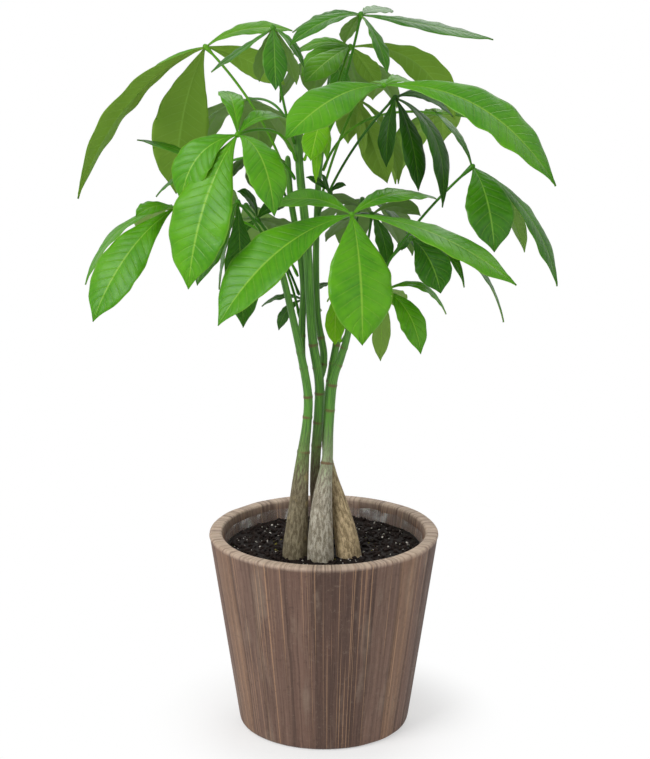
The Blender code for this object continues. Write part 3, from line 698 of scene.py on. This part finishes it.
@dataclass
class Foliage:
    """Every compound leaf: a stalk, a swollen hub and arched leaflets with raised quilting."""

    steps_along: int = 44
    steps_across: int = 18
    thickness: float = 0.55 * MM
    widest: float = 1.48
    fullness: float = 0.85
    narrower: float = 0.94
    tip_from: float = 0.86
    tip_drawn_in: float = 0.36
    least_half: float = 0.40 * MM
    vein_gap: float = 6.2 * MM
    quilt_height: float = 1.35 * MM
    quilt_at_width: float = 34.0
    margin_wave: float = 0.11
    curl: float = 0.10
    groove: float = 0.22 * MM
    groove_half: float = 0.7 * MM
    rib: float = 0.55 * MM
    rib_half: float = 0.5 * MM
    knee: float = 0.45
    fold: float = 0.14
    stalk_radius: float = 0.85 * MM
    hub_radius: float = 1.9 * MM
    stalk_spread: float = 0.4
    clearance: float = 0.3 * MM
    cad_stalk_radius: float = 0.95 * MM

    def blade(self, shape: Shape, hub: Array, row: tuple[float, ...], seed: int) -> None:
        """Add a leaflet to shape.

        The midrib is a quadratic curve from hub to tip that passes an arch above the straight line. At t
        along it the half width is w(t) = W/2 sin(pi t^widest)^fullness, drawn in to a drip tip. At s
        across, from -1 to 1, a point rises by fold |s| w for the channel along the midrib, falls by
        curl s^2 w for the curved margins, and rises between side veins by a rounded wave, the quilting.
        The midrib is a bell-shaped groove above and a bell-shaped rib, thinner to the tip, below.

        Args:
            shape: what to add to.
            hub: where the leaflet starts.
            row: the leaflet's table row, in millimetres and degrees.
            seed: the leaflet's own random number.
        """
        *reach_mm, width, arch, twist = row
        draw = np.random.default_rng(seed)
        reach = np.array(reach_mm) * MM
        length = float(np.linalg.norm(reach))
        sideways = unit(np.cross(reach, UP))
        upward = unit(np.cross(sideways, reach))
        t = np.linspace(0.0, 1.0, self.steps_along + 1)[:, None]
        s = np.linspace(-1.0, 1.0, self.steps_across + 1)[None, :]
        knee = reach * self.knee + upward * (2 * arch * MM)
        middle = hub + 2 * t * (1 - t) * knee + t * t * reach
        tangent = unit(2 * (1 - 2 * t) * knee + 2 * t * reach)
        turn = np.radians(twist + draw.uniform(-9, 9) * (t - 0.3) * 2)
        across = sideways * np.cos(turn) + upward * np.sin(turn)
        across = unit(across - tangent * np.sum(across * tangent, -1, keepdims=True))
        face = np.cross(across, tangent)
        half = width * MM / 2 * np.maximum(np.sin(np.pi * t ** self.widest), 0.0) ** self.fullness
        half = half * self.narrower * (1 - self.tip_drawn_in * ease(self.tip_from, 0.99, t))
        half = half + self.least_half * (1 - t ** 8)
        off = np.abs(s)
        count = t * max(6.0, length / self.vein_gap)
        wave = np.abs(np.sin(np.pi * (count - VEIN_SLANT * off)))
        quilt = width / self.quilt_at_width * self.quilt_height * (wave ** 0.7 - 0.5)
        quilt = quilt * off ** 0.6 * (1 - off ** 3)
        margin = self.margin_wave * half * ripple(seed, t * 14, s * 1.5) * off ** 3
        edge = 1 + 0.03 * ripple(seed + 1, t * 22, s * 2.0)
        fold = self.fold + draw.uniform(-0.05, 0.05)
        curl = self.curl + draw.uniform(-0.08, 0.10)
        rise = fold * off * half - curl * s ** 2 * half + quilt * ease(0.04, 0.15, t) + margin
        groove = -self.groove * np.exp(-(off * half / self.groove_half) ** 2)
        body = middle[:, None] + across[:, None] * (s * half * edge)[..., None]
        body = body + face[:, None] * (rise + groove)[..., None]
        skin = face[:, None] * (self.thickness / 2 * (1 - 0.75 * off ** 4) * np.ones_like(t))[..., None]
        bell = np.exp(-(off * half / self.rib_half) ** 2)
        rib = face[:, None] * (self.rib * (1 - 0.7 * t) * bell)[..., None]
        top, bottom = body + skin, body - skin - rib
        rings = np.concatenate([top, bottom[:, ::-1]], axis=1)
        flat_s = np.concatenate([s, s[:, ::-1]], axis=1) * np.ones_like(t)
        flat_count = np.broadcast_to(count, flat_s.shape)
        under = np.concatenate([np.zeros_like(s), np.ones_like(s)], axis=1) * np.ones_like(t)
        blade = np.stack([flat_s, flat_count, under], -1)
        shade = np.full(flat_s.shape, draw.uniform(0, 1))
        shape.add_loft(rings, blade=blade, shade=shade)

    def stalk(self, shape: Shape, plan: LeafPlan) -> None:
        """Add a leaf's stalk and hub: a quadratic curve out of its stem, over and down to the hub.

        The radius swells near the stem and at the hub, where the leaflets meet.

        Args:
            shape: what to add to.
            plan: the leaf.
        """
        rows = np.array(TRUNKS[plan.trunk][plan.branch], float) * MM
        stem = along(rows, np.linspace(0, len(rows) - 1, 8 * (len(rows) - 1) + 1))
        stem = stem[np.argmin(np.abs(stem[:, 2] - plan.root * MM))]
        hub = np.array(plan.hub) * MM
        outward = unit(np.array([hub[0] - stem[0], hub[1] - stem[1], 0.0]))
        start = stem[:3] + outward * (stem[3] + self.clearance + 0.75 * self.cad_stalk_radius)
        reach = np.linalg.norm(hub - start)
        bend = start + unit(outward * self.stalk_spread + UP) * reach * 0.5
        t = np.linspace(0, 1, 29)[:, None]
        path = (1 - t) ** 2 * start + 2 * t * (1 - t) * bend + t * t * hub
        beyond = unit(hub - path[-2]) * self.hub_radius
        path = np.vstack([path, hub + 0.45 * beyond, hub + 0.8 * beyond, hub + beyond])
        t = np.concatenate([t[:, 0], [1.01, 1.02, 1.03]])
        radius = self.stalk_radius * (1 + 0.5 * ease(0.10, 0.0, t))
        radius = radius + (self.hub_radius - self.stalk_radius) * ease(0.93, 1.0, t)
        radius[-3:] = self.hub_radius * np.array([0.85, 0.55, 0.15])
        radius[0] *= 0.6
        rings, turn = tube_rings(path, radius, 10)
        blade = np.stack([np.full(turn.shape, 0.5), np.full(turn.shape, 0.25), np.zeros(turn.shape)], -1)
        shape.add_loft(rings, blade=blade, shade=np.full(turn.shape, 0.2))

    def build(self) -> None:
        """Build and dress every leaf."""
        finishes = {tone: finish.material() for tone, finish in LEAF_FINISHES.items()}
        for number, (name, plan) in enumerate(LEAVES.items()):
            shape = Shape()
            self.stalk(shape, plan)
            hub = np.array(plan.hub) * MM
            for place, row in enumerate(plan.leaflets):
                self.blade(shape, hub, row, 100 * number + place + 1)
            shape.build(f"{name}_grown", finishes[plan.tone], "leaf", name)


@dataclass
class Trunks:
    """The four trunks with their shoots: ridged bark, ringed nodes and leaf scars."""

    around: int = 40
    steps: int = 26
    ridge: float = 0.045
    knob: float = 0.012
    ring_swell: float = 0.09
    ring_half: float = 0.0011
    bark_ends: tuple[float, float] = (0.165, 0.20)
    ring_heights: tuple[float, ...] = (0.187, 0.213, 0.232, 0.247, 0.262)

    def stem(self, shape: Shape, rows_mm: tuple[tuple[float, ...], ...], seed: int, foot: bool) -> None:
        """Add one stem.

        Its radius is the table's, times one plus ridges along it and knobs, which fade where the bark
        ends, plus a narrow bell-shaped swelling at each node ring. Its top closes by a square root.

        Args:
            shape: what to add to.
            rows_mm: the stem's points and radii in millimetres.
            seed: the stem's own random number.
            foot: whether the stem stands in the soil.
        """
        rows = np.array(rows_mm, float) * MM
        t = np.linspace(0, len(rows) - 1, self.steps * (len(rows) - 1) + 1)
        line = along(rows, t)
        path, radius = line[:, :3], line[:, 3].copy()
        z = path[:, 2]
        length = np.concatenate([[0], np.cumsum(np.linalg.norm(np.diff(path, axis=0), axis=1))])
        if not foot:
            radius = radius * (0.6 + 0.4 * ease(0.0, 0.012, length))
        radius[-6:] *= np.sqrt(1 - (np.arange(1, 7) / 6.15) ** 2)
        angle = np.arange(self.around) / self.around * 2 * np.pi
        bark = (1 - ease(*self.bark_ends, z))[:, None]
        cos, sin, far = np.cos(angle)[None], np.sin(angle)[None], length[:, None]
        ridges = ripple(seed, 3 * cos, 3 * sin, 60 * far, spread=1.7)
        knobs = ripple(seed + 7, 2 * cos, 2 * sin, 260 * far)
        swell = np.zeros_like(z)
        scar = np.zeros((len(z), self.around))
        draw = np.random.default_rng(seed)
        for height in self.ring_heights:
            at = height + draw.uniform(-0.006, 0.006)
            bell = np.exp(-((z - at) / self.ring_half) ** 2)
            swell = swell + self.ring_swell * bell
            facing = 0.5 + 0.5 * np.cos(angle - draw.uniform(0, 2 * np.pi))
            scar = np.maximum(scar, bell[:, None] * (0.35 + 0.65 * facing[None]))
        relief = 1 + self.ridge * ridges * (0.35 + 0.65 * bark) + self.knob * knobs * bark + swell[:, None]
        rings, turn = tube_rings(path, radius[:, None] * relief, self.around)
        stem = np.stack([np.cos(turn), np.sin(turn), np.broadcast_to(far, turn.shape)], -1)
        shape.add_loft(rings, stem=stem, scar=scar)

    def build(self) -> None:
        """Build and dress the trunks."""
        for number, (name, stems) in enumerate(TRUNKS.items()):
            shape = Shape()
            for place, rows in enumerate(stems):
                self.stem(shape, rows, 31 * number + place + 5, foot=place == 0)
            shape.build(f"{name}_grown", BARK_FINISHES[name].material(), "bark", name)


@dataclass
class Pot:
    """The turned wooden pot, its staves a little uneven, and the clear film inside it."""

    height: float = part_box("wooden_pot")[1][2]
    top_radius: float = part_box("wooden_pot")[1][0]
    base_radius: float = 0.0567
    wall: float = 0.0085
    floor: float = 0.010
    round_rim: float = 0.0020
    round_foot: float = 0.0036
    around: int = 384
    staves: int = 27
    light_staves: float = 0.20
    seam_depth: float = 0.00042
    seam_half: float = 0.013
    wear: float = 0.00022
    rim_wear: float = 0.00035
    foot_step: float = 0.0004
    pole: float = 0.0008
    film_gap: float = 0.0006

    def inside(self, z: Array | float, inset: float = 0.0) -> Array | float:
        """Radius of the pot's inside at height z, less inset."""
        return self.base_radius + (self.top_radius - self.base_radius) * z / self.height - self.wall - inset

    def profile(self) -> Array:
        """The wall's section as (radius, z), from the foot up the outside, over the rim and down inside."""
        foot = np.linspace(-np.pi / 2, -0.12, 8)
        rim = np.linspace(-0.12, np.pi / 2, 10)
        slope = (self.top_radius - self.base_radius) / self.height
        foot_centre = self.base_radius - self.round_foot + self.foot_step
        foot_arc = np.stack([foot_centre + self.round_foot * np.cos(foot),
                             self.round_foot + self.round_foot * np.sin(foot)], -1)
        z = np.linspace(self.round_foot, self.height - self.round_rim, 74)[1:-1]
        outside = np.stack([self.base_radius + slope * z, z], -1)
        top = self.height - self.round_rim
        rim_out = np.stack([self.top_radius - self.round_rim + self.round_rim * np.cos(rim),
                            top + self.round_rim * np.sin(rim)], -1)
        inner = self.inside(top) + self.round_rim
        back = np.linspace(np.pi / 2, np.pi, 9)
        rim_in = np.stack([inner + self.round_rim * np.cos(back), top + self.round_rim * np.sin(back)], -1)
        z = np.linspace(top, self.floor + 0.003, 26)[1:]
        within = np.stack([self.inside(z), z], -1)
        last = np.array([[self.inside(self.floor) - 0.003, self.floor], [self.pole, self.floor]])
        return np.vstack([[[self.pole, 0.0]], foot_arc, outside, rim_out, rim_in, within, last])

    def build_wall(self) -> None:
        """Build the pot: the section turned about Z, with a shallow groove at each stave's joint.

        The groove's depth is a bell curve of the angle from the nearest joint, and joints lie at random
        steps round the pot. The rim's top waves a little, as worn wood does.
        """
        draw = np.random.default_rng(11)
        widths = draw.uniform(0.35, 1.7, self.staves)
        joints = np.concatenate([[0], np.cumsum(widths)]) / widths.sum() * 2 * np.pi
        shades, lights = draw.uniform(0, 1, self.staves), draw.uniform(0, 1, self.staves)
        section = self.profile()
        angle = np.arange(self.around) / self.around * 2 * np.pi
        height = section[:, 1][:, None] / self.height
        lean = angle[None] + 0.030 * ripple(3, 2 * np.cos(angle)[None], 2 * np.sin(angle)[None], height * 2)
        which = np.clip(np.searchsorted(joints, lean % (2 * np.pi), side="right") - 1, 0, self.staves - 1)
        away = np.abs((lean[..., None] - joints + np.pi) % (2 * np.pi) - np.pi).min(-1)
        seam = np.exp(-(away / self.seam_half) ** 2)
        radius = section[:, 0][:, None]
        outer = np.zeros_like(radius)
        outer[: int(np.argmax(section[:, 1]))] = 1.0
        seam = seam * outer * ease(0.0, 0.03, height) * (1 - 0.6 * ease(0.97, 1.0, height))
        top = ease(self.height - 2 * self.round_rim, self.height, section[:, 1])[:, None]
        wave = ripple(21, 5 * np.cos(angle)[None], 5 * np.sin(angle)[None], height)
        radius = radius - self.seam_depth * seam - self.wear * (1 + wave) * outer
        z = np.maximum(section[:, 1][:, None] - self.rim_wear * (1 + wave) * top, 0.0)
        rings = np.stack([radius * np.cos(angle), radius * np.sin(angle), z * np.ones_like(angle)[None]], -1)
        stave = np.stack([np.broadcast_to(np.cos(angle), rings.shape[:2]),
                          np.broadcast_to(np.sin(angle), rings.shape[:2]),
                          np.broadcast_to(height, rings.shape[:2])], -1)
        light = (lights[which] > 1 - self.light_staves) * np.ones(rings.shape[:2])
        shape = Shape()
        shape.add_loft(rings, stave=stave, shade=shades[which] * np.ones(rings.shape[:2]), seam=seam,
                       light=light, edge=np.broadcast_to(top, rings.shape[:2]))
        shape.build("pot_wall", WoodFinish().material(), "wood", "wooden_pot")

    def build_film(self) -> None:
        """Build the film: a thin cup whose free edge waves in and out and up and down.

        Its radius is the pot's inside less a gap and less a wave that grows to the edge; its height goes
        by the 0.6th power of the way up, so that the rings lie closer towards the edge.
        """
        count, around = 20, 300
        rise = np.linspace(0, 1, count)[:, None]
        low, high = self.floor + self.film_gap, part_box("plastic_liner")[1][2]
        angle = np.arange(around) / around * 2 * np.pi
        wave = ripple(41, 6 * np.cos(angle)[None], 6 * np.sin(angle)[None], rise * 1.2, waves=7)
        lift = ripple(42, 5 * np.cos(angle)[None], 5 * np.sin(angle)[None], 0 * rise, waves=6)
        z = low + (high - low) * rise ** 0.6 + 0.0011 * lift * ease(0.75, 1.0, rise)
        radius = self.inside(z, self.film_gap) - 0.0010 * (1 + wave) * ease(0.7, 1.0, rise)
        outer = np.stack([radius * np.cos(angle), radius * np.sin(angle), z], -1)
        inner = outer * np.array([0.9965, 0.9965, 1.0]) + np.array([0.0, 0.0, 0.0002])
        shape = Shape()
        shape.add_loft(np.concatenate([outer, inner[::-1]]))
        shape.build("liner_film", FilmFinish().material(), "film", "plastic_liner")


@dataclass
class Soil:
    """Crumbly soil with crumbs, pale grit and a little moss round the trunks' feet."""

    pot: Pot
    rings: int = 120
    around: int = 300
    crumbs: int = 1500
    grit: int = 260
    moss: int = 150
    surface: float = 0.121
    film: float = 0.0012
    mound: float = 0.0022

    def level(self, x: Array, y: Array) -> Array:
        """Height of the soil at x, y: a low mound plus lumps of three sizes."""
        edge = self.pot.inside(self.surface, self.film)
        mound = self.surface - 0.0005 + self.mound * (1 - (x * x + y * y) / edge ** 2)
        lumps = 0.0007 * ripple(51, x * 160, y * 160, spread=1.6)
        crumbs = 0.0006 * ripple(52, x * 700, y * 700, waves=9, spread=1.5)
        fine = 0.0004 * ripple(53, x * 1900, y * 1900, waves=9, spread=1.5)
        return mound + lumps + crumbs + fine

    def build_bed(self) -> None:
        """Build the bed: the level over a disc, closed by the liner's shape below."""
        edge = self.pot.inside(self.surface, self.film)
        angle = np.arange(self.around) / self.around * 2 * np.pi
        part = np.linspace(1.0, 0.01, self.rings)[:, None]
        x, y = part * edge * np.cos(angle), part * edge * np.sin(angle)
        upper = np.stack([x, y, self.level(x, y)], -1)
        z = np.linspace(self.pot.floor + self.film, 0.115, 8)[:, None]
        radius = self.pot.inside(z, 0.0014)
        lower = np.stack([radius * np.cos(angle), radius * np.sin(angle), z * np.ones_like(angle)], -1)
        shape = Shape()
        shape.add_loft(np.concatenate([lower, upper]))
        finish = CrumbFinish("dark_soil", srgb(24, 15, 11), srgb(78, 58, 48), 0.01)
        shape.build("soil_bed", finish.material(), "soil", "soil")

    def scatter(self, name: str, finish: CrumbFinish, count: int, size: tuple[float, float],
                seed: int, near: float, flat: float = 0.7) -> None:
        """Strew small lumps over the soil.

        Each lump is five rings of six points between two poles, moved in or out at random, tilted, and
        sunk by about a third into the soil.

        Args:
            name: the piece's name.
            finish: its finish.
            count: how many lumps.
            size: the least and greatest radius.
            seed: the scatter's own random number.
            near: greatest distance from the pot's middle.
            flat: height as a part of width.
        """
        draw = np.random.default_rng(seed)
        reach = near * np.sqrt(draw.uniform(0, 1, count))
        turn = draw.uniform(0, 2 * np.pi, count)
        x, y = reach * np.cos(turn), reach * np.sin(turn)
        radius = size[0] + (size[1] - size[0]) * draw.uniform(0, 1, count) ** 2.2
        across = np.array([0.35, 0.9, 1.0, 0.7, 0.25])
        height = np.array([-0.9, -0.4, 0.1, 0.65, 0.95])
        angle = np.arange(6) / 6 * 2 * np.pi
        shape = Shape()
        for k in range(count):
            lump = draw.uniform(0.75, 1.2, (5, 6))
            ring = np.stack([across[:, None] * np.cos(angle) * lump, across[:, None] * np.sin(angle) * lump,
                             height[:, None] * flat * lump], -1) * radius[k]
            tilt = draw.uniform(-0.6, 0.6, 2)
            ring[..., 2] += ring[..., 0] * tilt[0] + ring[..., 1] * tilt[1]
            place = np.array([x[k], y[k], self.level(x[k:k + 1], y[k:k + 1])[0] + radius[k] * flat * 0.35])
            shape.add_loft(ring + place)
        shape.build(name, finish.material(), "soil")

    def build(self) -> None:
        """Build the bed and all that lies on it."""
        self.build_bed()
        edge = self.pot.inside(self.surface, 0.004)
        crumb = CrumbFinish("soil_crumb", srgb(32, 20, 15), srgb(84, 62, 52), 0.04)
        grit = CrumbFinish("pale_grit", srgb(206, 198, 188), srgb(236, 230, 222), 0.2, 0.8)
        moss = CrumbFinish("moss_crumb", srgb(112, 104, 44), srgb(160, 150, 70), 0.1)
        self.scatter("soil_crumbs", crumb, self.crumbs, (0.0006, 0.0021), 61, edge)
        self.scatter("soil_grit", grit, self.grit, (0.00035, 0.0010), 62, edge)
        self.scatter("soil_moss", moss, self.moss, (0.0005, 0.0013), 63, 0.034)


@dataclass
class Studio:
    """A white floor, soft light and the camera."""

    target: tuple[float, float, float] = (0.0008, 0.0, 0.2352)
    distance: float = 1.30
    elevation: float = 14.573
    lens: float = 95.018
    sensor: float = 36.0
    shadow_fades: tuple[float, float] = (0.062, 0.125)
    floor_glow: float = 0.45
    room_light: float = 0.52

    def camera(self) -> None:
        """Place the camera: distance back from the target at the elevation, facing along +Y."""
        lift = np.radians(self.elevation)
        data = bpy.data.cameras.new("view")
        data.sensor_width, data.lens = self.sensor, self.lens
        made = bpy.data.objects.new("view", data)
        made.location = Vector(self.target) + self.distance * Vector((0, -np.cos(lift), np.sin(lift)))
        made.rotation_euler = (np.pi / 2 - lift, 0, 0)
        bpy.context.scene.collection.objects.link(made)
        bpy.context.scene.camera = made

    def lamp(self, name: str, place: tuple[float, float, float], size: float, power: float) -> None:
        """Add a square soft lamp that faces the plant."""
        data = bpy.data.lights.new(name, "AREA")
        data.size, data.energy = size, power
        made = bpy.data.objects.new(name, data)
        made.location = place
        made.rotation_euler = (Vector(place) - Vector((0, 0, 0.26))).to_track_quat("Z", "Y").to_euler()
        bpy.context.scene.collection.objects.link(made)

    def floor(self) -> None:
        """Lay the floor: lit near the pot, and plain white to the eye further out."""
        n = Nodes("white_floor")
        n.surface(Base_Color=(0.93, 0.93, 0.93), Roughness=0.9)
        n.shader.inputs["Specular IOR Level"].default_value = 0.0
        away = n.add("ShaderNodeVectorMath", operation="LENGTH")
        n.tree.links.new(n.place(), away.inputs[0])
        far = n.step(away.outputs["Value"], *self.shadow_fades)
        path = n.add("ShaderNodeLightPath")
        seen = n.math("MAXIMUM", path.outputs["Is Camera Ray"],
                      n.math("MAXIMUM", path.outputs["Is Glossy Ray"], path.outputs["Is Transmission Ray"]))
        white = n.add("ShaderNodeEmission", Color=(1.0, 1.0, 1.0), Strength=1.0)
        part = n.math("ADD", self.floor_glow, n.math("MULTIPLY", far, 1 - self.floor_glow))
        both = n.add("ShaderNodeMixShader", Fac=n.math("MULTIPLY", part, seen))
        n.tree.links.new(n.shader.outputs[0], both.inputs[1])
        n.tree.links.new(white.outputs[0], both.inputs[2])
        n.tree.links.new(both.outputs[0], n.output.inputs["Surface"])
        mesh = bpy.data.meshes.new("floor")
        mesh.from_pydata([(-6, -6, 0), (6, -6, 0), (6, 6, 0), (-6, 6, 0)], [], [(0, 1, 2, 3)])
        mesh.materials.append(n.material)
        made = bpy.data.objects.new("floor", mesh)
        bpy.context.scene.collection.objects.link(made)

    def world(self) -> None:
        """Fill the room with an even light, white to the eye."""
        world = bpy.data.worlds.new("studio")
        world.use_nodes = True
        tree = world.node_tree
        back = tree.nodes["Background"]
        back.inputs["Color"].default_value = (1, 1, 1, 1)
        back.inputs["Strength"].default_value = self.room_light
        plain = tree.nodes.new("ShaderNodeBackground")
        plain.inputs["Strength"].default_value = 1.0
        plain.inputs["Color"].default_value = (1, 1, 1, 1)
        path = tree.nodes.new("ShaderNodeLightPath")
        mix = tree.nodes.new("ShaderNodeMixShader")
        seen = path.outputs["Is Camera Ray"]
        for ray in ("Is Glossy Ray", "Is Transmission Ray"):
            either = tree.nodes.new("ShaderNodeMath")
            either.operation = "MAXIMUM"
            tree.links.new(seen, either.inputs[0])
            tree.links.new(path.outputs[ray], either.inputs[1])
            seen = either.outputs[0]
        tree.links.new(seen, mix.inputs[0])
        tree.links.new(back.outputs[0], mix.inputs[1])
        tree.links.new(plain.outputs[0], mix.inputs[2])
        tree.links.new(mix.outputs[0], tree.nodes["World Output"].inputs["Surface"])
        bpy.context.scene.world = world

    def build(self) -> None:
        """Set the stage."""
        self.camera()
        self.world()
        self.floor()
        self.lamp("key", (-0.9, -0.9, 1.35), 0.8, 18.0)
        self.lamp("fill", (1.2, -1.1, 0.7), 1.2, 3.5)
        self.lamp("back", (0.3, 1.1, 1.2), 1.0, 6.0)
        bpy.context.scene.view_settings.view_transform = "Standard"


def main() -> None:
    """Build the plant and its pot, in order."""
    logging.basicConfig(level=logging.INFO, format="%(name)s: %(message)s")
    Studio().build()
    pot = Pot()
    pot.build_wall()
    pot.build_film()
    Soil(pot).build()
    Trunks().build()
    Foliage().build()
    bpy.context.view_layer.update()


if __name__ == "__main__":
    main()
